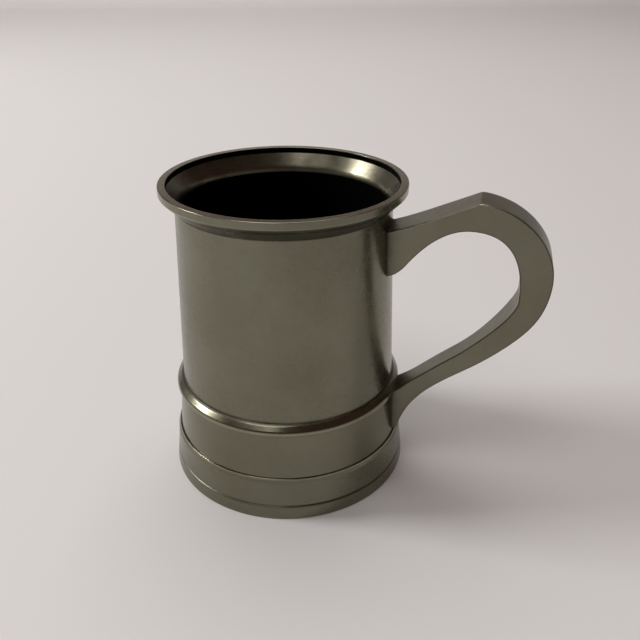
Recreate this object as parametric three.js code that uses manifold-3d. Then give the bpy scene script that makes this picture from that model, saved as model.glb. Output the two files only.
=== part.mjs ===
// Pewter pint tankard: a tapering drum with applied mouldings and a cast slab handle.
// Millimetres, +Z up. The group's origin is on the surface that the foot stands on,
// under the middle of the whole object, and the handle points along +X.
import * as THREE from 'three';
import { mergeVertices } from 'three/addons/utils/BufferGeometryUtils.js';
import Module from 'manifold-3d';

const wasm = await Module();
wasm.setup();

// Overall sizes
const overallHeight = 120;
const lipRadius = 45.7;

// Mouth moulding: a flat rim, an upright edge, a 45 degree cove outside and a flare inside
const rimWidth = 2.8;
const lipEdgeHeight = 2.7;
const lipProjection = 5.45;
const rimStepDepth = 2.3;
const mouthRounding = 0.9;
const mouthRoundingDepth = 2.6;

// Drum: a tube that narrows from the waist to the neck
const drumTaper = 0.04;
const drumWall = 1.6;

// Waist bead, skirt and foot, from the top down. The skirt widens towards the foot.
const waistHeight = 41;
const beadHeight = 4.4;
const beadCrownHeight = 1.1;
const beadProjection = 1.45;
const skirtProjection = 1.35;
const skirtTaper = 0.085;
const footHeight = 17.75;
const ledgeProjection = 0.45;
const shoulderDrop = 1.85;
const shoulderProjection = 1.27;
const footSpread = 2.93;
const bandHeight = 5.4;
const bandDraft = 0.72;
const creaseDepth = 0.3;

// Inside the foot
const seatWidth = 3.6;
const seatThickness = 1.5;
const baseRecess = 2.5;
const basePlateThickness = 2;

// Handle: a flat-faced casting with a pointed thumb rest, thinnest across its lower arm
const gripThickness = 14.2;
const armThickness = 9.9;
const rootThickness = 12.8;
const handleProjection = 53.2;
const thumbRestOut = 25.7;
const thumbRestDrop = 1.6;
const upperRootDrop = 6.55;
const upperRootHeight = 17.1;
const crownWidth = 10.3;
const gripWidth = 10.7;
const lowerArmWidth = 7.2;
const lowerTipClearance = 1.6;
const lowerRootLap = 1;
const handleBevel = 0.5;

// Fits: lathe-turned pieces sit a film apart, and the handle stands off by its solder
const solderFilm = 0.1;
const padClearance = 0.3;
const padThickness = 0.5;
const padInset = 0.6;

const segments = 72;
const curveSteps = 8;

// Heights and radii that follow from the sizes above
const neckHeight = overallHeight - lipEdgeHeight - lipProjection;
const neckRadius = lipRadius - lipProjection;
const drumRadius = (z) => neckRadius + drumTaper * (neckHeight - z);
const boreRadius = (z) => drumRadius(z) - drumWall;
const beadBottom = waistHeight - beadHeight;
const skirtTopRadius = drumRadius(waistHeight) + skirtProjection;
const skirtRadius = (z) => skirtTopRadius + skirtTaper * (beadBottom - z);
const beadRadius = skirtTopRadius + beadProjection;
const ledgeRadius = skirtRadius(footHeight) + ledgeProjection;
const shoulderHeight = footHeight - shoulderDrop;
const shoulderRadius = skirtRadius(footHeight) + shoulderProjection;
const footRadius = skirtRadius(footHeight) + footSpread;
const seatHeight = baseRecess + seatThickness;
const drumFoot = seatHeight + solderFilm;
const sleeveBore = (z) => drumRadius(z) + solderFilm;

const pewter = {
  turned: new THREE.MeshStandardMaterial({ color: 0x6b695b, roughness: 0.3, metalness: 1 }),
  cast: new THREE.MeshStandardMaterial({ color: 0x66645a, roughness: 0.38, metalness: 1 }),
  base: new THREE.MeshStandardMaterial({ color: 0x5c5b50, roughness: 0.5, metalness: 1 }),
  solder: new THREE.MeshStandardMaterial({ color: 0x7d7c74, roughness: 0.5, metalness: 1 }),
};

// A turned piece. The profile is a list of [radius, height] points round the section,
// anticlockwise, and it closes on itself unless both of its ends are on the axis.
function turned(profile) {
  const onAxis = profile[0][0] === 0;
  const outline = onAxis ? profile : [...profile, profile[0]];
  const points = outline.map(([radius, height]) => new THREE.Vector2(radius, height));
  const geometry = new THREE.LatheGeometry(points, segments);
  geometry.rotateX(Math.PI / 2);
  return geometry;
}

// Points along an arc of an ellipse round (r, z), from one angle to another in degrees.
function arc(r, z, width, height, from, to, steps) {
  return Array.from({ length: steps + 1 }, (_, i) => {
    const angle = THREE.MathUtils.degToRad(from + ((to - from) * i) / steps);
    return [r + width * Math.cos(angle), z + height * Math.sin(angle)];
  });
}

function toManifold(geometry) {
  const bare = geometry.clone();
  bare.deleteAttribute('normal');
  bare.deleteAttribute('uv');
  const merged = mergeVertices(bare, 1e-4);
  return new wasm.Manifold(new wasm.Mesh({
    numProp: 3,
    vertProperties: new Float32Array(merged.attributes.position.array),
    triVerts: new Uint32Array(merged.index.array),
  }));
}

function toGeometry(solid) {
  const mesh = solid.getMesh();
  const geometry = new THREE.BufferGeometry();
  geometry.setAttribute('position', new THREE.BufferAttribute(mesh.vertProperties, 3));
  geometry.setIndex(new THREE.BufferAttribute(mesh.triVerts, 1));
  geometry.computeVertexNormals();
  return geometry;
}

// The mouth moulding butts on the drum's top edge.
function lipRing() {
  const bottom = neckHeight + solderFilm;
  const flareTop = overallHeight - rimStepDepth;
  const rimInner = lipRadius - rimWidth;
  const bore = boreRadius(neckHeight);
  return turned([
    [neckRadius, bottom],
    [lipRadius, overallHeight - lipEdgeHeight],
    [lipRadius, overallHeight],
    [rimInner, overallHeight],
    [rimInner, flareTop],
    [bore + mouthRounding, bottom + mouthRoundingDepth],
    [bore + mouthRounding / 4, bottom + mouthRoundingDepth / 2],
    [bore, bottom],
  ]);
}

function drum() {
  return turned([
    [boreRadius(drumFoot), drumFoot],
    [drumRadius(drumFoot), drumFoot],
    [drumRadius(neckHeight), neckHeight],
    [boreRadius(neckHeight), neckHeight],
  ]);
}

// The bead covers the skirt's top edge: full below its crown, and rolled back to the drum
// above it.
function waistBead() {
  const bottom = beadBottom + solderFilm;
  const crown = beadBottom + beadCrownHeight;
  const inner = sleeveBore(waistHeight) + solderFilm;
  return turned([
    [sleeveBore(bottom), bottom],
    [skirtTopRadius, bottom],
    ...arc(skirtTopRadius, crown, beadProjection, crown - bottom, -60, 0, 2),
    ...arc(inner, crown, beadRadius - inner, waistHeight - crown, 15, 90, 5),
    [sleeveBore(waistHeight), waistHeight],
  ]);
}

function skirt() {
  const bottom = footHeight + solderFilm;
  return turned([
    [sleeveBore(bottom), bottom],
    [skirtRadius(bottom), bottom],
    [skirtTopRadius, beadBottom],
    [sleeveBore(beadBottom), beadBottom],
  ]);
}

// The foot: a narrow ledge, a sloping shoulder and a plain band under a turned crease,
// with a seat inside that the drum and the base plate stand on.
function footRing() {
  const bandRadius = footRadius - bandDraft;
  const seatRadius = sleeveBore(seatHeight);
  const seatBore = boreRadius(seatHeight) - seatWidth;
  return turned([
    [seatBore, baseRecess],
    [seatRadius, baseRecess],
    [seatRadius + seatThickness, 0],
    [footRadius, 0],
    [bandRadius, bandHeight],
    [bandRadius - creaseDepth, bandHeight + creaseDepth],
    [bandRadius, bandHeight + 2 * creaseDepth],
    [shoulderRadius, shoulderHeight],
    [ledgeRadius, footHeight],
    [sleeveBore(footHeight), footHeight],
    [seatRadius, seatHeight],
    [seatBore, seatHeight],
  ]);
}

// The floor of the cup lies on the foot's seat, inside the drum.
function basePlate() {
  const radius = boreRadius(drumFoot) - solderFilm;
  const top = drumFoot + basePlateThickness;
  return turned([
    [0, drumFoot],
    [radius, drumFoot],
    [radius - drumTaper * basePlateThickness, top],
    [0, top],
  ]);
}

// Everything that the handle stands against, grown outwards by a gap.
function wallEnvelope(gap) {
  return toManifold(turned([
    [0, 0],
    [footRadius + gap, 0],
    [shoulderRadius + gap, shoulderHeight],
    [ledgeRadius + gap, footHeight],
    [skirtRadius(footHeight) + gap, footHeight + gap],
    [skirtTopRadius + gap, beadBottom - gap],
    [beadRadius + gap, beadBottom - gap],
    [beadRadius + gap, beadBottom + beadHeight / 2],
    [drumRadius(waistHeight) + gap, waistHeight + gap],
    [neckRadius + gap, neckHeight - gap],
    [lipRadius + gap, overallHeight - lipEdgeHeight],
    [lipRadius + gap, overallHeight],
    [0, overallHeight],
  ]));
}

// A point that an outline passes, with its heading there in degrees and how far the curve
// holds that heading before the point and after it.
function station(x, y, heading, before, after) {
  const angle = THREE.MathUtils.degToRad(heading);
  const step = (length) => [x + length * Math.cos(angle), y + length * Math.sin(angle)];
  return { point: [x, y], arriving: step(-before), leaving: step(after) };
}

function curveThrough(outline, stations) {
  stations.slice(1).forEach((next, i) => {
    outline.bezierCurveTo(...stations[i].leaving, ...next.arriving, ...next.point);
  });
}

// The handle's outline in its own plane: x out from the axis, y up. Both roots run into
// the wall, and are cut to it afterwards.
function handleOutline() {
  const buried = neckRadius - 4;
  const rootTop = neckHeight - upperRootDrop;
  const rootBottom = rootTop - upperRootHeight;
  const thumbX = lipRadius + thumbRestOut;
  const thumbY = overallHeight - thumbRestDrop;
  const reach = lipRadius + handleProjection;
  const tip = footHeight + lowerTipClearance;
  const lowerRootTop = beadBottom + lowerRootLap;
  const up = (share) => tip + (thumbY - tip) * share;
  const elbowX = reach - 27.4;
  const elbowY = up(0.31);
  const innerElbowX = elbowX - lowerArmWidth * 0.6;
  const innerElbowY = elbowY + lowerArmWidth * 0.8;

  const outline = new THREE.Shape();
  outline.moveTo(buried, rootTop);
  outline.lineTo(neckRadius, rootTop);
  curveThrough(outline, [
    station(neckRadius, rootTop, 17, 0, 6),
    station(thumbX - 14.4, thumbY - 6.5, 24, 5, 0),
  ]);
  outline.lineTo(thumbX, thumbY);
  curveThrough(outline, [
    station(thumbX, thumbY, -5, 0, 14.9),
    station(reach, up(0.724), -90, 14.6, 17.2),
    station(elbowX, elbowY, -143.7, 18.8, 15.4),
    station(skirtTopRadius + 2.8, tip + 0.6, -105, 15.1, 0),
  ]);
  outline.quadraticCurveTo(skirtTopRadius + 2.6, tip, skirtTopRadius + 1.4, tip);
  outline.lineTo(buried, tip);
  outline.lineTo(buried, lowerRootTop);
  outline.lineTo(skirtTopRadius + 1, lowerRootTop);
  curveThrough(outline, [
    station(skirtTopRadius + 1, lowerRootTop, 14, 0, 1.5),
    station(innerElbowX, innerElbowY, 38.5, 12, 11),
    station(reach - gripWidth, up(0.645), 90, 5.6, 14.8),
    station(thumbX - 1.9, thumbY - crownWidth, 180, 13.7, 8.4),
    station(neckRadius + 7, rootBottom + 4.7, -126, 11.2, 1.7),
    station(neckRadius + 0.5, rootBottom, 180, 2.6, 0),
  ]);
  outline.lineTo(buried, rootBottom);
  outline.closePath();
  return outline;
}

// A slab of the outline, centred on the handle's plane, with its edges bevelled.
function slab(outline, thickness, bevel) {
  const geometry = new THREE.ExtrudeGeometry(outline, {
    depth: thickness - 2 * bevel,
    curveSegments: curveSteps,
    bevelEnabled: bevel > 0,
    bevelSegments: 1,
    bevelThickness: bevel,
    bevelSize: bevel,
    bevelOffset: -bevel,
  });
  geometry.translate(0, 0, bevel - thickness / 2);
  geometry.rotateX(Math.PI / 2);
  return toManifold(geometry);
}

// The handle seen along its length: wide at the grip, waisted at the lower arm and a
// little wider again at the lower root.
function frontOutline(inset) {
  const grip = gripThickness / 2 - inset;
  const arm = armThickness / 2 - inset;
  const root = rootThickness / 2 - inset;
  const waist = beadBottom + 2 * lowerArmWidth;
  const side = [
    [root, 0],
    [root, beadBottom],
    [arm, beadBottom + lowerArmWidth],
    [arm, waist],
    [grip, (waist + overallHeight) / 2],
    [grip, overallHeight],
  ];
  const otherSide = side.map(([y, z]) => [-y, z]).reverse();
  return new THREE.Shape([...side, ...otherSide].map(([y, z]) => new THREE.Vector2(y, z)));
}

// The whole casting before it is cut to the wall: the slab within the front outline.
function casting(outline, inset, bevel) {
  const depth = lipRadius + handleProjection;
  const front = new THREE.ExtrudeGeometry(frontOutline(inset), { depth, bevelEnabled: false });
  front.rotateX(Math.PI / 2);
  front.rotateZ(Math.PI / 2);
  return slab(outline, gripThickness - 2 * inset, bevel).intersect(toManifold(front));
}

function handle(outline) {
  const standOff = 2 * padClearance + padThickness;
  return toGeometry(casting(outline, 0, handleBevel).subtract(wallEnvelope(standOff)));
}

// The solder under one root: a thin saddle that follows the wall behind the handle.
function solderPad(outline, isUpper) {
  const pad = casting(outline, padInset, 0)
    .intersect(wallEnvelope(padClearance + padThickness))
    .subtract(wallEnvelope(padClearance));
  const pieces = pad.decompose().filter((piece) => piece.volume() > 1);
  const middle = (piece) => piece.boundingBox().min[2] + piece.boundingBox().max[2];
  pieces.sort((a, b) => middle(a) - middle(b));
  return toGeometry(isUpper ? pieces[pieces.length - 1] : pieces[0]);
}

function addPiece(group, name, geometry, material) {
  const mesh = new THREE.Mesh(geometry, material);
  mesh.name = name;
  group.add(mesh);
}

const tankard = new THREE.Group();
const outline = handleOutline();
addPiece(tankard, 'lip_ring', lipRing(), pewter.turned);
addPiece(tankard, 'drum', drum(), pewter.turned);
addPiece(tankard, 'waist_bead', waistBead(), pewter.turned);
addPiece(tankard, 'skirt', skirt(), pewter.turned);
addPiece(tankard, 'foot_ring', footRing(), pewter.turned);
addPiece(tankard, 'base_plate', basePlate(), pewter.base);
addPiece(tankard, 'handle', handle(outline), pewter.cast);
addPiece(tankard, 'upper_handle_solder', solderPad(outline, true), pewter.solder);
addPiece(tankard, 'lower_handle_solder', solderPad(outline, false), pewter.solder);
tankard.position.x = (footRadius - lipRadius - handleProjection) / 2;

export default tankard;
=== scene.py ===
"""Pewter tankard: the smooth surfaces and the pewter finishes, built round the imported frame.

Every length is in metres, in the frame's own axes: +Z up, the handle along +X.
"""
import math

import bmesh
import bpy
import numpy as np
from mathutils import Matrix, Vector


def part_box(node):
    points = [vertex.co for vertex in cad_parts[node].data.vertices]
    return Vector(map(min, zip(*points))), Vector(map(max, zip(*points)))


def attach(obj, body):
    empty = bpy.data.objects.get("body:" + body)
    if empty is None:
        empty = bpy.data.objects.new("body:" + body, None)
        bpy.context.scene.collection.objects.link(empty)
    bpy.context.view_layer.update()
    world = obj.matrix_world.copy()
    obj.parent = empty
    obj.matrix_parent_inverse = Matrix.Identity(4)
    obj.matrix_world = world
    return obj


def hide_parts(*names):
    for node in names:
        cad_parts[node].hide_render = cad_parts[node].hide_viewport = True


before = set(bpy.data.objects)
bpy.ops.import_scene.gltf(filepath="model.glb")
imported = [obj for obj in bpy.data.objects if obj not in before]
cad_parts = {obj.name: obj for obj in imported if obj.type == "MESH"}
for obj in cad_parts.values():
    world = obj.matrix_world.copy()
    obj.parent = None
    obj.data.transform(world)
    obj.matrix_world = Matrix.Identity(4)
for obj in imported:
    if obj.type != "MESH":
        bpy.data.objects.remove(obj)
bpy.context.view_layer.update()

MM = 0.001

# ---- sizes read from the frame: the drum's axis stands at AXIS_X, and radii are measured from it

lip_low, lip_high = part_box("lip_ring")
drum_low, drum_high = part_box("drum")
bead_low, bead_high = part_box("waist_bead")
skirt_low, skirt_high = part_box("skirt")
_, foot_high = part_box("foot_ring")
plate_low, plate_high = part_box("base_plate")
handle_low, handle_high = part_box("handle")

AXIS_X = (lip_low.x + lip_high.x) / 2
LIP_RADIUS = lip_high.y
BEAD_RADIUS = bead_high.y
FOOT_RADIUS = foot_high.y
PLATE_RADIUS = plate_high.y
TOP = lip_high.z
NECK = drum_high.z
WAIST = bead_high.z
BEAD_BOTTOM = bead_low.z
FOOT_TOP = foot_high.z
GRIP_HALF = (handle_high.y - handle_low.y) / 2
HANDLE_REACH = handle_high.x - AXIS_X
HANDLE_TOP = handle_high.z
HANDLE_TIP = handle_low.z

# ---- sizes of the mouldings

LIP_PROJECTION = 5.45 * MM
LIP_EDGE = 2.7 * MM
RIM_WIDTH = 2.8 * MM
RIM_STEP = 2.3 * MM
DRUM_WALL = 1.6 * MM
ARM_HALF = 4.95 * MM
ROOT_HALF = 6.4 * MM
SKIRT_PROJECTION = 1.35 * MM
LEDGE_OUT = 0.5 * MM
SHOULDER_OUT = 1.27 * MM
SHOULDER_DROP = 1.85 * MM
BAND_HEIGHT = 5.4 * MM
BAND_DRAFT = 0.72 * MM
CREASE = 0.3 * MM
HIDDEN = 0.4 * MM
ROOT_DROP = 6.5 * MM
ROOT_HEIGHT = 17.1 * MM
THUMB_OUT = 25.7 * MM
ELBOW_IN = 27.4 * MM
ARRIS = 0.4 * MM
ROOT_BURY = 0.8 * MM
SOLDER_RADIUS = 0.28 * MM

NECK_RADIUS = LIP_RADIUS - LIP_PROJECTION
DRUM_TAPER = (drum_high.y - NECK_RADIUS) / (NECK - drum_low.z)

TURNS = 320
HANDLE_ROWS = 420


def drum_radius(z):
    """Outside radius of the drum at height z: the neck's radius plus the taper times the drop from the neck."""
    return NECK_RADIUS + DRUM_TAPER * (NECK - z)


SKIRT_TOP_RADIUS = drum_radius(WAIST) + SKIRT_PROJECTION
SKIRT_TAPER = (skirt_high.y - SKIRT_TOP_RADIUS) / (BEAD_BOTTOM - skirt_low.z)


def skirt_radius(z):
    """Outside radius of the skirt at height z: its radius under the bead plus the taper times the drop from there."""
    return SKIRT_TOP_RADIUS + SKIRT_TAPER * (BEAD_BOTTOM - z)


# ---- profiles: arrays of (radius, height) or (x, z) points


def rounded(corners, radii, steps=6):
    """Rounds every corner of a closed outline: both sides are cut back by radius times tan(half the turn), and a
    quadratic curve with the corner as its middle control point joins the two cuts."""
    corners = np.array(corners, float)
    back = np.roll(corners, 1, axis=0) - corners
    ahead = np.roll(corners, -1, axis=0) - corners
    back_length = np.linalg.norm(back, axis=1, keepdims=True)
    ahead_length = np.linalg.norm(ahead, axis=1, keepdims=True)
    back, ahead = back / back_length, ahead / ahead_length
    turn = math.pi - np.arccos(np.clip(np.sum(back * ahead, axis=1, keepdims=True), -1, 1))
    cut = np.maximum(np.array(radii, float), 0.02 * MM)[:, None] * np.tan(turn / 2)
    cut = np.minimum(cut, 0.49 * np.minimum(back_length, ahead_length))
    t = np.linspace(0, 1, steps + 1)[None, :, None]
    start, end, middle = corners + back * cut, corners + ahead * cut, corners
    curve = (1 - t) ** 2 * start[:, None] + 2 * t * (1 - t) * middle[:, None] + t**2 * end[:, None]
    return curve.reshape(-1, 2)


def walked(points, spacing=2.5 * MM, guard=0.1 * MM, closed=True):
    """The same outline with points added at even spacing, and one guard point beside each end of a long side, so
    that the shading turns only at the corners."""
    if closed:
        points = np.vstack([points, points[:1]])
    side = np.linalg.norm(np.diff(points, axis=0), axis=1)
    at = np.concatenate([[0], np.cumsum(side)])
    long = side > 5 * guard
    added = [at, at[:-1][long] + guard, at[1:][long] - guard, np.arange(0, at[-1], spacing)]
    at_all = np.unique(np.concatenate(added))
    at_all = at_all[np.concatenate([[True], np.diff(at_all) > 0.01 * guard])]
    walk = np.stack([np.interp(at_all, at, points[:, k]) for k in (0, 1)], axis=1)
    if closed:
        walk = walk[:-1]
    return walk


# ---- meshes


def new_piece(name, vertices, faces, node, materials, which=None, carries=None):
    """A mesh object at the origin from arrays of vertices and quads. Repeated vertices are merged, which closes
    the poles, and the frame's node `node` is hidden. `which` numbers the material of each face, and
    `carries` holds one value per vertex for each attribute that a material reads."""
    mesh = bpy.data.meshes.new(name)
    mesh.from_pydata(vertices.tolist(), [], faces.tolist())
    for material in materials:
        mesh.materials.append(material)
    if which is not None:
        mesh.polygons.foreach_set("material_index", which.astype(np.int32))
    mesh.polygons.foreach_set("use_smooth", np.ones(len(mesh.polygons), bool))
    for key, values in (carries or {}).items():
        mesh.attributes.new(key, "FLOAT", "POINT").data.foreach_set("value", values.astype(np.float32))
    worked = bmesh.new()
    worked.from_mesh(mesh)
    bmesh.ops.remove_doubles(worked, verts=worked.verts, dist=0.0005 * MM)
    bmesh.ops.recalc_face_normals(worked, faces=worked.faces)
    worked.to_mesh(mesh)
    worked.free()
    piece = bpy.data.objects.new(name, mesh)
    bpy.context.scene.collection.objects.link(piece)
    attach(piece, "root")
    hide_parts(node)


def grid_faces(rows, columns, join_rows, join_columns):
    """Quads between neighbours of a grid of rows by columns of vertices, joined end to end where asked."""
    row_count, column_count = rows - (not join_rows), columns - (not join_columns)
    row, column = np.meshgrid(np.arange(row_count), np.arange(column_count), indexing="ij")
    next_row, next_column = (row + 1) % rows, (column + 1) % columns
    corners = [(row, column), (row, next_column), (next_row, next_column), (next_row, column)]
    return np.stack([r * columns + c for r, c in corners], axis=-1).reshape(-1, 4)


def turned(name, profile, stands_for, materials, surface=None, closed=True):
    """A turned piece: the profile point (r, z) goes to (r cos a, r sin a, z) as a runs through a full turn.
    A quad whose middle is at (r, z) takes the material numbered `surface(r, z)`."""
    angle = np.linspace(0, 2 * math.pi, TURNS, endpoint=False)[:, None]
    r, z = profile[:, 0][None, :], profile[:, 1][None, :]
    grid = np.stack([AXIS_X + r * np.cos(angle), r * np.sin(angle), z + 0 * angle], axis=-1)
    faces = grid_faces(TURNS, len(profile), True, closed)
    which = None
    if surface is not None:
        after = np.roll(profile, -1, axis=0)
        middle = (profile + after) / 2 if closed else ((profile + after) / 2)[:-1]
        which = np.tile(surface(middle[:, 0], middle[:, 1]), TURNS)
    new_piece(name, grid.reshape(-1, 3), faces, stands_for, materials, which)


# ---- materials


def hex_colour(code):
    """Turns an sRGB hex colour into Blender's linear RGBA."""
    value = np.array([int(code[i : i + 2], 16) for i in (1, 3, 5)]) / 255
    linear = np.where(value <= 0.04045, value / 12.92, ((value + 0.055) / 1.055) ** 2.4)
    return (*[float(v) for v in linear], 1.0)


MATH, RANGE, NOISE, MIX = "ShaderNodeMath", "ShaderNodeMapRange", "ShaderNodeTexNoise", "ShaderNodeMix"


def node(tree, kind, inputs=None, output=0, **settings):
    """Adds a node with its settings, fills its inputs and returns one of its outputs. An input given as a socket is
    linked, and one given as a hex code is set as a colour."""
    made = tree.nodes.new(kind)
    for key, value in settings.items():
        setattr(made, key, value)
    for key, value in (inputs or {}).items():
        if isinstance(value, bpy.types.NodeSocket):
            tree.links.new(value, made.inputs[key])
        else:
            made.inputs[key].default_value = hex_colour(value) if isinstance(value, str) else value
    return made.outputs[output]


def new_material(name):
    """An empty node material and its tree, with the shader already joined to the output."""
    material = bpy.data.materials.new(name)
    material.use_nodes = True
    tree = material.node_tree
    tree.nodes.clear()
    shader = tree.nodes.new("ShaderNodeBsdfPrincipled")
    output = tree.nodes.new("ShaderNodeOutputMaterial")
    tree.links.new(shader.outputs[0], output.inputs[0])
    return material, tree, shader


def fill_ramp(ramp, marks):
    """Sets a colour ramp to (position, colour) marks, which are in ascending order."""
    while len(ramp.elements) < len(marks):
        ramp.elements.new(0.5)
    for element, (position, colour) in zip(ramp.elements, marks):
        element.position = position
        element.color = colour


def peaks(centres, width):
    """Marks for `height_of`: 1 at every centre, falling to 0 at `width` either side."""
    return [mark for z in centres for mark in ((z - width, 0.0), (z, 1.0), (z + width, 0.0))]


def patches(tree, place, across, detail, window, amounts):
    """Soft patches about `across` wide: noise, with the window (low, high) of it carried to the two amounts."""
    cloudy = node(tree, NOISE, {"Vector": place, "Scale": 1 / across, "Detail": detail})
    return node(tree, RANGE, {"Value": cloudy, "From Min": window[0], "From Max": window[1],
                              "To Min": amounts[0], "To Max": amounts[1]})


def pewter(name, colours, roughness, grain_of, tarnish_and_painted_shade_of, wear_and_painted_highlight_of, patchiness=0.5):
    """Dark antiqued pewter. Colours are (cloud, metal, tarnish, worn). Over the metal lie, in order: soft clouds of
    brown patina some 30 mm across, a fine mottle 3 mm across, rubbed metal where `wear_and_painted_highlight_of` is
    high, partly painted highlight on the handle's arrises, and tarnish where `tarnish_and_painted_shade_of` is high,
    partly painted shade under the lip, in the bore and on the handle's arrises. `grain_of` gives the height of the
    tool marks, for the bump and the roughness."""
    cloud_colour, metal, tarnish, worn = colours
    material, tree, shader = new_material(name)
    shader.inputs["Metallic"].default_value = 1.0
    place = node(tree, "ShaderNodeTexCoord", output="Object")
    cloud = patches(tree, place, 30 * MM, 5.0, (0.35, 0.7), (0.0, patchiness))
    mottle = patches(tree, place, 3 * MM, 2.0, (0.3, 0.7), (0.0, 1.0))
    smudge = patches(tree, place, 9 * MM, 4.0, (0.3, 0.65), (0.6, 1.0))
    grain = grain_of(tree, place)
    crease = node(tree, MATH, {0: tarnish_and_painted_shade_of(tree, place), 1: smudge}, operation="MULTIPLY")
    wear = node(tree, MATH, {0: wear_and_painted_highlight_of(tree, place), 1: smudge}, operation="MULTIPLY")
    faint_mottle = node(tree, MATH, {0: mottle, 1: 0.12}, operation="MULTIPLY")
    colour = metal
    for cover, layer in [(cloud, cloud_colour), (faint_mottle, cloud_colour), (wear, worn), (crease, tarnish)]:
        colour = node(tree, MIX, {"Factor": cover, "A": colour, "B": layer}, "Result", data_type="RGBA")
    tree.links.new(colour, shader.inputs["Base Color"])
    grain_level = node(tree, RANGE, {"Value": grain, "From Min": 0.3, "From Max": 0.7})
    rough = node(tree, MATH, {0: mottle, 1: 0.05, 2: roughness - 0.04}, operation="MULTIPLY_ADD")
    for part, amount in [(grain_level, 0.04), (cloud, 0.08), (crease, 0.25), (wear, -0.06)]:
        rough = node(tree, MATH, {0: part, 1: amount, 2: rough}, operation="MULTIPLY_ADD")
    tree.links.new(rough, shader.inputs["Roughness"])
    dents = node(tree, NOISE, {"Vector": place, "Scale": 1 / (14 * MM), "Detail": 2.0})
    height = node(tree, MATH, {0: dents, 1: 2.0, 2: grain}, operation="MULTIPLY_ADD")
    height = node(tree, MATH, {0: mottle, 1: 0.06, 2: height}, operation="MULTIPLY_ADD")
    bump = node(tree, "ShaderNodeBump", {"Height": height, "Strength": 0.25, "Distance": 0.02 * MM})
    tree.links.new(bump, shader.inputs["Normal"])
    return material


def turning_lines(tree, place):
    """Rings left by the lathe tool: noise in the radius and the height alone, so it runs right round. Real rings are
    some 0.2 mm apart, too fine to show, so these are drawn 0.9 mm apart."""
    part = node(tree, "ShaderNodeSeparateXYZ", {0: place}, "X").node.outputs
    out = node(tree, MATH, {0: part["X"], 1: AXIS_X}, operation="SUBTRACT")
    aside = node(tree, MATH, {0: part["Y"], 1: part["Y"]}, operation="MULTIPLY")
    square = node(tree, MATH, {0: out, 1: out, 2: aside}, operation="MULTIPLY_ADD")
    radius = node(tree, MATH, {0: square}, operation="SQRT")
    lines = node(tree, "ShaderNodeCombineXYZ", {"X": radius, "Z": part["Z"]})
    return node(tree, NOISE, {"Vector": lines, "Scale": 1 / (0.9 * MM), "Detail": 2.0})


def linished_grain(tree, place):
    """Scratches left by the belt: noise stretched along the handle by the mesh's own `run` and `width`. Real
    scratches are finer than this, too fine to show, so these are drawn 0.6 mm apart."""
    along = node(tree, "ShaderNodeAttribute", output="Fac", attribute_name="run")
    across = node(tree, "ShaderNodeAttribute", output="Fac", attribute_name="width")
    stretched = node(tree, MATH, {0: along, 1: 0.04}, operation="MULTIPLY")
    lines = node(tree, "ShaderNodeCombineXYZ", {"X": stretched, "Y": across})
    return node(tree, NOISE, {"Vector": lines, "Scale": 1 / (0.6 * MM), "Detail": 2.0})


def height_of(marks):
    """A mask that follows straight lines between (height, amount) marks, at heights up to HEIGHT_SPAN."""
    def mask(tree, place):
        z = node(tree, "ShaderNodeSeparateXYZ", {0: place}, "Z")
        share = node(tree, MATH, {0: z, 1: HEIGHT_SPAN}, operation="DIVIDE")
        level = node(tree, "ShaderNodeValToRGB", {"Fac": share}, "Color")
        shades = [(height / HEIGHT_SPAN, (amount, amount, amount, 1)) for height, amount in sorted(marks)]
        fill_ramp(level.node.color_ramp, shades)
        return level
    return mask


def carried(attribute_name):
    """A mask that the mesh carries as an attribute."""
    return lambda tree, place: node(tree, "ShaderNodeAttribute", output="Fac", attribute_name=attribute_name)


HEIGHT_SPAN = 0.15
OLIVE = ("#696553", "#7B7A6A", "#2B2620", "#9C9A85")
GROWS_WITH_HEIGHT = height_of([(0.0, 0.0), (HEIGHT_SPAN, 1.0)])
STRONG_AND_GROWS = height_of([(0.0, 0.4), (HEIGHT_SPAN, 1.0)])

# Spun and turned pewter, satin: soft rings, a brown bloom in patches, dark joints, and painted shade under the lip.
turned_pewter = pewter(
    "turned_pewter", OLIVE, 0.23, turning_lines,
    # Tarnish: dark lines at the waist and the neck joints, and painted shade over the cove under the lip, up to its
    # outer side.
    height_of([*peaks([WAIST], 0.8 * MM), (NECK - 0.5 * MM, 0.0), (NECK, 1.0), (NECK + 2.5 * MM, 1.0),
               (TOP - LIP_EDGE - 0.9 * MM, 0.8), (TOP - LIP_EDGE - 0.2 * MM, 0.0)]),
    height_of([(TOP - LIP_EDGE - 0.4 * MM, 0.0), (TOP - LIP_EDGE, 0.7), (TOP - LIP_EDGE + 0.4 * MM, 0.0),
               (TOP - 0.4 * MM, 0.0), (TOP - 0.05 * MM, 0.7)]),
)
# The flare inside the mouth: the same metal, with strong brown staining in patches where the ale has stood. Both its
# tarnish and its rubbing are strong at this height.
mouth_pewter = pewter(
    "stained_mouth_pewter", ("#4C3A2A", "#827F6E", "#2B2620", "#9C9A85"), 0.15, turning_lines,
    GROWS_WITH_HEIGHT, GROWS_WITH_HEIGHT, 0.95,
)
# The bead and the skirt: the same metal, tarnished black where the bead meets the skirt, rubbed on its crest.
waist_pewter = pewter(
    "turned_waist_pewter", OLIVE, 0.2, turning_lines,
    height_of([*peaks([BEAD_BOTTOM], 0.3 * MM), *peaks([WAIST], 0.5 * MM), *peaks([FOOT_TOP], 0.4 * MM)]),
    height_of(peaks([BEAD_BOTTOM + 1.2 * MM], 0.7 * MM)),
)
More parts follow.
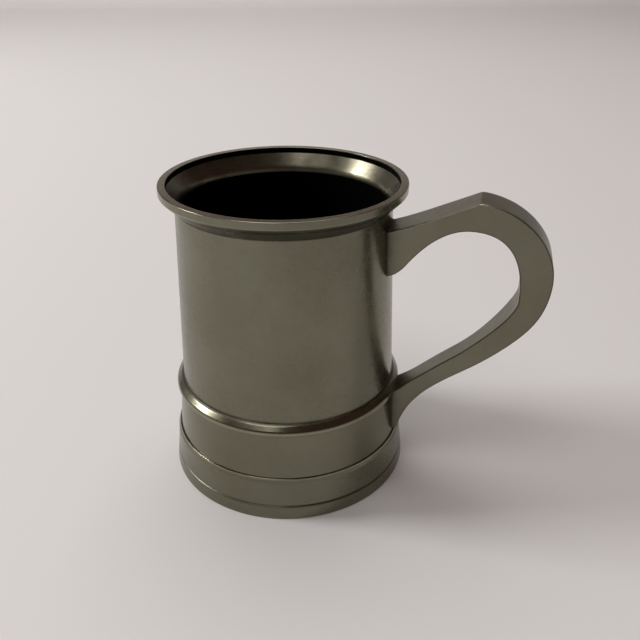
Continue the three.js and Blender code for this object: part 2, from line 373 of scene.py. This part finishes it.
# The foot: a black line in the crease over its band, rubbed metal on its ledge and its bottom edge.
foot_pewter = pewter(
    "turned_foot_pewter", OLIVE, 0.23, turning_lines,
    height_of([(BAND_HEIGHT - 0.3 * MM, 0.0), (BAND_HEIGHT, 1.0), (BAND_HEIGHT + 0.3 * MM, 1.0),
               (BAND_HEIGHT + 0.7 * MM, 0.0)]),
    height_of([(0.0, 0.8), (0.6 * MM, 0.0), *peaks([FOOT_TOP - 0.15 * MM], 0.25 * MM)]),
)
# Cast pewter finished on a belt: long faint scratches; the outer arrises are lighter up to the thumb rest, rubbing
# and painted highlight both, and darker past it and along the inner arrises, tarnish and painted shade both, with
# tarnish where it meets the wall.
cast_pewter = pewter(
    "linished_cast_pewter", OLIVE, 0.32, linished_grain, carried("root"), carried("arris"), 0.4,
)
# The bore: near-black pewter as painted shade inside the cup, darker towards the mouth, with rings still in it.
bore_pewter = pewter(
    "painted_shade_bore_pewter", ("#0B0A08", "#131210", "#060606", "#24221E"), 0.5, turning_lines,
    GROWS_WITH_HEIGHT, height_of(peaks([NECK], 0.6 * MM)),
)
# The spun floor of the cup: duller and greyer, left rough from the lathe.
base_pewter = pewter(
    "rough_spun_base_pewter", ("#4A473C", "#5B594D", "#2B2620", "#7A7868"), 0.45, turning_lines,
    GROWS_WITH_HEIGHT, GROWS_WITH_HEIGHT, 0.9,
)
# Tin solder: paler and smoother, with dark dross in places.
solder = pewter(
    "wiped_tin_solder", ("#3F3B31", "#65635A", "#2B2620", "#96947F"), 0.38, turning_lines,
    STRONG_AND_GROWS, GROWS_WITH_HEIGHT, 0.9,
)

# ---- the turned pieces

rim_inner = LIP_RADIUS - RIM_WIDTH
step_bottom = TOP - RIM_STEP
bore = NECK_RADIUS - DRUM_WALL
cove_top = TOP - LIP_EDGE
flare_foot = NECK - 0.3 * MM


def mouth_surface(r, z):
    """Numbers of the materials round the lip ring: bright metal outside, the bore's near-black painted shade in the
    step and below the neck, and the stained flare between them."""
    in_step = (np.abs(r - rim_inner) < 0.06 * MM) & (z > step_bottom) & (z < TOP - 0.25 * MM)
    return np.where(in_step, 1, np.where(r > rim_inner, 0, np.where(z > NECK - 1 * MM, 2, 1)))


lip_corners = [
    (LIP_RADIUS, cove_top),
    (LIP_RADIUS, TOP),
    (rim_inner, TOP),
    (rim_inner, step_bottom),
    (bore, flare_foot),
    (bore + 0.5 * MM, NECK - 5 * MM),
    (bore + 0.9 * MM, NECK - 5 * MM),
    (bore + 0.9 * MM, NECK - 0.6 * MM),
    (NECK_RADIUS - 0.05 * MM, NECK - 0.05 * MM),
]
lip_rounds = [0.3 * MM, 0.35 * MM, 0.2 * MM, 0.1 * MM, 6 * MM, 0, 0, 0, 0]
turned(
    "lip_ring_turned", walked(rounded(lip_corners, lip_rounds)), "lip_ring",
    [turned_pewter, bore_pewter, mouth_pewter],
    surface=mouth_surface,
)

drum_corners = [
    (drum_radius(drum_low.z), drum_low.z),
    (NECK_RADIUS, NECK),
    (bore + 0.2 * MM, NECK - 1 * MM),
    (drum_radius(drum_low.z) - DRUM_WALL, drum_low.z),
]


def drum_surface(r, z):
    """Numbers of the materials of the drum: 0 outside, 1 in the bore, its near-black painted shade."""
    return r < drum_radius(z) - 0.8 * DRUM_WALL


turned(
    "drum_turned", walked(rounded(drum_corners, [0, 0, 0, 0]), 4 * MM), "drum",
    [turned_pewter, bore_pewter], surface=drum_surface,
)

bead_height = WAIST - BEAD_BOTTOM
bead_corners = [
    (drum_radius(WAIST) - HIDDEN, WAIST + 0.1 * MM),
    (drum_radius(WAIST) - HIDDEN, BEAD_BOTTOM + 0.1 * MM),
    (SKIRT_TOP_RADIUS - 0.05 * MM, BEAD_BOTTOM + 0.05 * MM),
    (SKIRT_TOP_RADIUS + 0.55 * MM, BEAD_BOTTOM + 0.05 * MM),
    (BEAD_RADIUS, BEAD_BOTTOM + 0.3 * MM),
    (BEAD_RADIUS, BEAD_BOTTOM + 0.42 * bead_height),
    (drum_radius(WAIST) + 0.9 * MM, WAIST - 0.55 * MM),
    (drum_radius(WAIST) + 0.05 * MM, WAIST - 0.05 * MM),
]
bead_rounds = [0, 0, 0.05 * MM, 0.3 * MM, 0.7 * MM, 3.4 * MM, 1.6 * MM, 0.1 * MM]
turned(
    "waist_bead_turned", walked(rounded(bead_corners, bead_rounds), 1 * MM), "waist_bead",
    [waist_pewter],
)

skirt_corners = [
    (skirt_radius(FOOT_TOP), FOOT_TOP - 2 * MM),
    (skirt_radius(FOOT_TOP), FOOT_TOP),
    (skirt_radius(skirt_high.z) - 0.1 * MM, skirt_high.z),
    (drum_radius(skirt_high.z) + 0.1 * MM, skirt_high.z),
    (drum_radius(skirt_low.z) + 0.1 * MM, FOOT_TOP - 2 * MM),
]
turned(
    "skirt_turned", walked(rounded(skirt_corners, [0.2 * MM, 0, 0.2 * MM, 0, 0]), 4 * MM), "skirt",
    [waist_pewter],
)

ledge = skirt_radius(FOOT_TOP) + LEDGE_OUT
shoulder = skirt_radius(FOOT_TOP) + SHOULDER_OUT
band = FOOT_RADIUS - BAND_DRAFT
foot_corners = [
    (FOOT_RADIUS, 0),
    (band, BAND_HEIGHT - 0.05 * MM),
    (band - CREASE, BAND_HEIGHT + 0.2 * MM),
    (band - 0.02 * MM, BAND_HEIGHT + 0.75 * MM),
    (shoulder + 0.46 * MM, BAND_HEIGHT + 4.6 * MM),
    (shoulder + 0.1 * MM, FOOT_TOP - SHOULDER_DROP - 1.9 * MM),
    (shoulder, FOOT_TOP - SHOULDER_DROP),
    (ledge, FOOT_TOP - 0.05 * MM),
    (ledge - 0.2 * MM, FOOT_TOP),
    (skirt_radius(FOOT_TOP) + 0.12 * MM, FOOT_TOP - 0.02 * MM),
    (skirt_radius(FOOT_TOP) - HIDDEN, FOOT_TOP - 0.4 * MM),
    (skirt_radius(FOOT_TOP) - HIDDEN, 8 * MM),
    (FOOT_RADIUS - 3.2 * MM, 5 * MM),
    (FOOT_RADIUS - 2.8 * MM, 0),
]
foot_rounds = [
    0.5 * MM, 0.12 * MM, 0.05 * MM, 0.25 * MM, 6 * MM, 3 * MM, 0.35 * MM, 0.2 * MM, 0.1 * MM, 0.05 * MM, 0, 0,
    0.5 * MM, 0.3 * MM,
]
turned(
    "foot_ring_turned", walked(rounded(foot_corners, foot_rounds), 2 * MM), "foot_ring",
    [foot_pewter],
)

plate_profile = np.array(
    [(0, plate_low.z), (PLATE_RADIUS, plate_low.z), (PLATE_RADIUS, plate_high.z), (0, plate_high.z)]
)
turned(
    "base_plate_turned", walked(plate_profile, closed=False), "base_plate", [base_pewter],
    closed=False,
)

# ---- the handle


def curve_points(controls, steps=60):
    """Cubic curves end to end: each row of four control points is weighted by the cubic Bernstein polynomials."""
    t = np.linspace(0, 1, steps)[:, None]
    weights = np.concatenate([(1 - t) ** 3, 3 * t * (1 - t) ** 2, 3 * t**2 * (1 - t), t**3], axis=1)
    points = np.einsum("tk,ckd->ctd", weights, np.array(controls, float)).reshape(-1, 2)
    return points[np.concatenate([[True], np.linalg.norm(np.diff(points, axis=0), axis=1) > 1e-7])]


def straight(a, b):
    """A side of an outline written as a cubic curve: its inner control points stand at the thirds."""
    a, b = np.array(a, float), np.array(b, float)
    return [a, a + (b - a) / 3, a + (b - a) * 2 / 3, b]


def softened(points, rows, ease=0.25 * MM):
    """The outline at even spacing, with each corner eased by a bell-shaped average over `ease`, and its normals."""
    at = np.concatenate([[0], np.cumsum(np.linalg.norm(np.diff(points, axis=0), axis=1))])
    fine = np.linspace(0, at[-1], rows * 8)
    dense = np.stack([np.interp(fine, at, points[:, k]) for k in (0, 1)], axis=1)
    step = fine[1]
    reach = int(4 * ease / step) + 1
    bell = np.exp(-0.5 * (np.arange(-reach, reach + 1) * step / ease) ** 2)
    bell = bell / bell.sum()
    before, after = 2 * dense[0] - dense[reach:0:-1], 2 * dense[-1] - dense[-2 : -reach - 2 : -1]
    padded = np.concatenate([before, dense, after])
    soft = np.stack([np.convolve(padded[:, k], bell, "valid") for k in (0, 1)], axis=1)
    along = np.gradient(soft, axis=0)
    along = along / np.linalg.norm(along, axis=1, keepdims=True)
    normal = np.stack([along[:, 1], -along[:, 0]], axis=1)
    pick = np.linspace(0, len(soft) - 1, rows).round().astype(int)
    return soft[pick], normal[pick]


def up(share):
    """Height at a share of the handle's height, from its lower tip."""
    return HANDLE_TIP + (HANDLE_TOP - HANDLE_TIP) * share


def station(x, z, heading, before, after):
    """A point that an outline passes, with the control points before and after it: they stand `before` and `after`
    away from it along its heading in degrees."""
    angle = math.radians(heading)
    point, ahead = np.array([x, z]), np.array([math.cos(angle), math.sin(angle)])
    return point, point - before * MM * ahead, point + after * MM * ahead


def curve_through(stations):
    """The cubic curve that passes every station with its heading."""
    return [[a[0], a[2], b[1], b[0]] for a, b in zip(stations, stations[1:])]


root_top = NECK - ROOT_DROP
root_bottom = root_top - ROOT_HEIGHT
thumb_x = LIP_RADIUS + THUMB_OUT
elbow_x = HANDLE_REACH - ELBOW_IN
wall = SKIRT_TOP_RADIUS
lower_root_top = BEAD_BOTTOM + 1 * MM

ramp = station(thumb_x - 14.4 * MM, HANDLE_TOP - 6.4 * MM, 24, 5, 0)
thumb = station(thumb_x, HANDLE_TOP, -5, 0, 14.9)
outer_curve = [
    *curve_through([station(NECK_RADIUS, root_top, 17, 0, 6), ramp]),
    straight(ramp[0], thumb[0]),
    *curve_through([
        thumb,
        station(HANDLE_REACH, up(0.724), -90, 14.6, 17.2),
        station(elbow_x, up(0.31), -143.7, 18.8, 15.4),
        station(wall + 2.8 * MM, HANDLE_TIP + 0.6 * MM, -105, 15.1, 0),
    ]),
    straight((wall + 2.8 * MM, HANDLE_TIP + 0.6 * MM), (wall + 1.4 * MM, HANDLE_TIP)),
]
inner_curve = curve_through([
    station(NECK_RADIUS + 0.5 * MM, root_bottom, 0, 0, 2.6),
    station(NECK_RADIUS + 7 * MM, root_bottom + 4.7 * MM, 54, 1.7, 11.2),
    station(thumb_x - 1.9 * MM, HANDLE_TOP - 10.3 * MM, 0, 8.4, 13.7),
    station(HANDLE_REACH - 10.7 * MM, up(0.645), -90, 14.8, 5.6),
    station(elbow_x - 4.3 * MM, up(0.31) + 5.8 * MM, -141.5, 11, 12),
    station(wall + 1 * MM, lower_root_top, -166, 1.5, 0),
])


def eased(value, low, high):
    """A smooth step from 0 at low to 1 at high: t^2 (3 - 2 t)."""
    t = np.clip((value - low) / (high - low), 0, 1)
    return t**2 * (3 - 2 * t)


def handle_half(x, z):
    """Half the slab's width at a point of its face: full at the grip, narrowed to ARM_HALF along the lower arm, and
    flared to ROOT_HALF where it meets the wall."""
    grip = eased(z, up(0.41), up(0.61)) * (GRIP_HALF - ARM_HALF)
    root = (1 - eased(x, wall + 1 * MM, wall + 8 * MM)) * (ROOT_HALF - ARM_HALF)
    return ARM_HALF + np.maximum(grip, root)


def handle_mesh():
    """The handle slab: at each step along it the section is a rectangle with rounded arrises, spanned between the
    outer outline and the inner one. A section point is (1 - w)(I + e n_i) + w (O + e n_o) at its own y, where w is
    its share of the way from the inner outline I to the outer one O and e its inset along the normals n."""
    rows = HANDLE_ROWS
    outer, outer_normal = softened(curve_points(outer_curve), rows)
    inner, inner_normal = softened(curve_points(inner_curve), rows)
    inner_normal = -inner_normal
    a = np.linspace(0, math.pi / 2, 6)
    face = np.array([0.01, 0.05, 0.2, 0.4, 0.6, 0.8, 0.95, 0.99])
    across = np.linspace(-0.9, 0.9, 9)
    share = np.concatenate([face, 1 + 0 * a, 1 + 0 * across, 1 + 0 * a, face[::-1], 0 * a, 0 * across, 0 * a])
    inset = np.concatenate([
        ARRIS + 0 * face, ARRIS * (1 - np.sin(a)), 0 * across, ARRIS * (1 - np.cos(a)),
        ARRIS + 0 * face, ARRIS * (1 - np.sin(a)), 0 * across, ARRIS * (1 - np.cos(a)),
    ])
    of_half = np.concatenate([
        1 + 0 * face, 1 + 0 * a, across[::-1], -1 + 0 * a, -1 + 0 * face, -1 + 0 * a, across, 1 + 0 * a,
    ])
    drawn_in = ARRIS * np.concatenate([
        0 * face, 1 - np.cos(a), 0 * across, 1 - np.sin(a), 0 * face, 1 - np.cos(a), 0 * across, 1 - np.sin(a),
    ])
    w, e = share[None, :, None], inset[None, :, None]
    flat = (1 - w) * (inner[:, None] + e * inner_normal[:, None]) + w * (outer[:, None] + e * outer_normal[:, None])
    half = handle_half(flat[..., 0], flat[..., 1])
    y = of_half[None] * half - drawn_in[None] * np.sign(of_half)[None]
    grid = np.stack([flat[..., 0], y, flat[..., 1]], axis=-1)
    first, last = grid[:1].copy(), grid[-1:].copy()
    first[..., 0] = np.sqrt((drum_radius(first[..., 2]) - ROOT_BURY) ** 2 - first[..., 1] ** 2)
    last[..., 0] = np.sqrt((skirt_radius(last[..., 2]) - ROOT_BURY) ** 2 - last[..., 1] ** 2)
    first_pole = np.broadcast_to(first.mean(axis=1, keepdims=True), first.shape)
    last_pole = np.broadcast_to(last.mean(axis=1, keepdims=True), last.shape)
    grid = np.concatenate([first_pole, first, grid, last, last_pole], axis=0)
    grid = grid + np.array([AXIS_X, 0, 0])
    rows, columns = grid.shape[:2]
    middle = grid.mean(axis=1, keepdims=True)
    run = np.cumsum(np.linalg.norm(np.diff(middle, axis=0, prepend=middle[:1]), axis=2), axis=0)
    near_end = np.minimum(run, run[-1] - run)
    depth = np.linalg.norm(grid[:, : len(face)] - grid[:, len(face) - 1 : len(face)], axis=2)
    width = np.concatenate([depth, np.zeros((rows, columns - len(face)))], axis=1) + grid[..., 1]
    outer_arris = np.concatenate([0 * face, 1 + 0 * a, 0 * across, 1 + 0 * a, 0 * face, 0 * a, 0 * across, 0 * a])
    inner_arris = np.concatenate([0 * face, 0 * a, 0 * across, 0 * a, 0 * face, 1 + 0 * a, 0 * across, 1 + 0 * a])
    # Painted light on the arrises: the outer ones are rubbed and painted highlight up to the thumb rest and painted
    # shade past it, and the inner ones tarnish and painted shade.
    rubbed = 1 - eased(run, run[-1] * 0.22, run[-1] * 0.3)
    arris_tarnish_and_painted_shade = 0.5 * np.maximum(inner_arris, outer_arris * (1 - rubbed))
    # `root` holds the tarnish where the slab meets the wall together with the arrises' tarnish and painted shade;
    # `arris` holds their rubbing and painted highlight.
    carries = {
        "run": (run + 0 * width).ravel(),
        "width": width.ravel(),
        "arris": (outer_arris * rubbed).ravel(),
        "root": np.maximum(np.exp(-near_end / (2 * MM)), arris_tarnish_and_painted_shade).ravel(),
    }
    return grid.reshape(-1, 3), grid_faces(rows, columns, False, True), carries


vertices, faces, carries = handle_mesh()
new_piece("handle_cast", vertices, faces, "handle", [cast_pewter], carries=carries)


def solder_line(name, stands_for, radius_at, half, low, high):
    """A thin bead of solder round a root: a small circle carried round the rectangle where the slab meets the
    wall, the rectangle's points (y, z) being laid on the wall at x = sqrt(r(z)^2 - y^2)."""
    corners = [(-half, low), (half, low), (half, high), (-half, high)]
    loop = walked(rounded(corners, [0.5 * MM] * 4), 0.8 * MM)
    y, z = loop[:, 0], loop[:, 1]
    x = np.sqrt(radius_at(z) ** 2 - y**2)
    path = np.stack([x, y, z], axis=1)
    along = np.roll(path, -1, axis=0) - np.roll(path, 1, axis=0)
    along = along / np.linalg.norm(along, axis=1, keepdims=True)
    out = np.stack([x, y, 0 * z], axis=1)
    out = out / np.linalg.norm(out, axis=1, keepdims=True)
    side = np.cross(along, out)
    side = side / np.linalg.norm(side, axis=1, keepdims=True)
    out = np.cross(side, along)
    turn = np.linspace(0, 2 * math.pi, 12, endpoint=False)[None, :, None]
    grid = path[:, None] + SOLDER_RADIUS * (np.cos(turn) * out[:, None] + np.sin(turn) * side[:, None])
    grid = grid + np.array([AXIS_X, 0, 0])
    faces = grid_faces(len(path), 12, True, True)
    new_piece(name, grid.reshape(-1, 3), faces, stands_for, [solder])


solder_line("upper_solder_line", "upper_handle_solder", drum_radius, GRIP_HALF, root_bottom, root_top)
solder_line("lower_solder_line", "lower_handle_solder", skirt_radius, ROOT_HALF, HANDLE_TIP, BEAD_BOTTOM)

# ---- the studio: directions are given from the drum's axis, azimuth 0 towards the viewer and growing to the right

VIEWER = math.radians(-73.3)
CAMERA_DISTANCE = 0.2536
CAMERA_HEIGHT = 0.1989
CAMERA_TURN = math.radians(3.0)


def direction(azimuth, elevation):
    """Unit vector at an azimuth from the viewer's side and an elevation above the floor, both in degrees."""
    a, e = VIEWER + math.radians(azimuth), math.radians(elevation)
    return Vector((math.cos(a) * math.cos(e), math.sin(a) * math.cos(e), math.sin(e)))


def aimed(thing, forward):
    """Turns a camera or a light so that it looks along `forward`."""
    thing.rotation_euler = forward.to_track_quat("-Z", "Y").to_euler()


def softbox(name, location, forward, width, height, watts):
    """A soft white rectangular light."""
    data = bpy.data.lights.new(name, "AREA")
    data.shape = "RECTANGLE"
    data.size, data.size_y = width, height
    data.energy = watts
    light = bpy.data.objects.new(name, data)
    light.location = location
    aimed(light, forward)
    bpy.context.scene.collection.objects.link(light)


# Three softboxes look at the drum's middle.
drum_middle = Vector((AXIS_X, 0, 0.06))
for name, away, side, watts in [
    ("key_softbox", direction(-100, 32) * 2.4, 0.65, 32),
    ("rear_softbox", direction(180, 70) * 2.4, 1.7, 21),
    ("overhead_softbox", direction(-40, 64) * 2.2, 1.1, 10),
]:
    softbox(name, drum_middle + away, -away, side, side, watts)
# One over the far floor lights the sheet behind and turns its back to the tankard.
softbox("wall_softbox", direction(180, 0) * 1.1 + Vector((AXIS_X, 0, 1.3)), direction(180, -40), 2.5, 0.8, 2.5)


def studio_world():
    """The unlit studio round the sheet: pale near the floor, then dim brown up to the ceiling."""
    world = bpy.data.worlds.new("dim_studio")
    world.use_nodes = True
    tree = world.node_tree
    towards = node(tree, "ShaderNodeTexCoord", output="Generated")
    rise = node(tree, "ShaderNodeSeparateXYZ", {0: towards}, "Z")
    glow = node(tree, "ShaderNodeValToRGB", {"Fac": rise}, "Color")
    levels = [(0.0, "#BAB8B6"), (0.24, "#B0ADAA"), (0.36, "#5C4438"), (0.8, "#503F36"), (1.0, "#5E554E")]
    fill_ramp(glow.node.color_ramp, [(position, hex_colour(code)) for position, code in levels])
    tree.links.new(glow, tree.nodes["Background"].inputs["Color"])
    bpy.context.scene.world = world


studio_world()

paper, _, shader = new_material("pale_paper")
shader.inputs["Base Color"].default_value = hex_colour("#DFDCDB")
shader.inputs["Roughness"].default_value = 0.7


def backdrop():
    """The floor and the wall behind: a sheet whose profile runs flat, turns up through a quarter circle and rises."""
    cove = 0.15
    edge = 2.2
    turn = np.linspace(0, math.pi / 2, 24)
    flat = np.linspace(-3, edge - cove, 30)[:-1]
    run = np.concatenate([[-6.0], flat, edge - cove + cove * np.sin(turn), [edge]])
    rise = np.concatenate([[0.0], np.zeros(29), cove * (1 - np.cos(turn)), [0.75]])
    across = np.linspace(-6, 6, 41)[:, None]
    away = direction(180, 0)
    side = direction(90, 0)
    x = AXIS_X + run[None] * away.x + across * side.x
    y = run[None] * away.y + across * side.y
    z = rise[None] + 0 * across
    grid = np.stack([x, y, z], axis=-1)
    mesh = bpy.data.meshes.new("paper_sweep")
    mesh.from_pydata(grid.reshape(-1, 3).tolist(), [], grid_faces(*grid.shape[:2], False, False).tolist())
    mesh.polygons.foreach_set("use_smooth", np.ones(len(mesh.polygons), bool))
    mesh.materials.append(paper)
    sheet = bpy.data.objects.new("paper_sweep", mesh)
    bpy.context.scene.collection.objects.link(sheet)


backdrop()

lens = bpy.data.cameras.new("camera")
lens.lens = 40
lens.sensor_width = 36
lens.clip_start = 0.01
camera = bpy.data.objects.new("camera", lens)
spot = direction(0, 0) * CAMERA_DISTANCE
camera.location = (AXIS_X + spot.x, spot.y, CAMERA_HEIGHT)
heading = VIEWER + math.pi - CAMERA_TURN
pitch = math.radians(-28.58)
aimed(camera, Vector((math.cos(heading) * math.cos(pitch), math.sin(heading) * math.cos(pitch), math.sin(pitch))))
bpy.context.scene.collection.objects.link(camera)
bpy.context.scene.camera = camera
bpy.context.scene.view_settings.view_transform = "Standard"
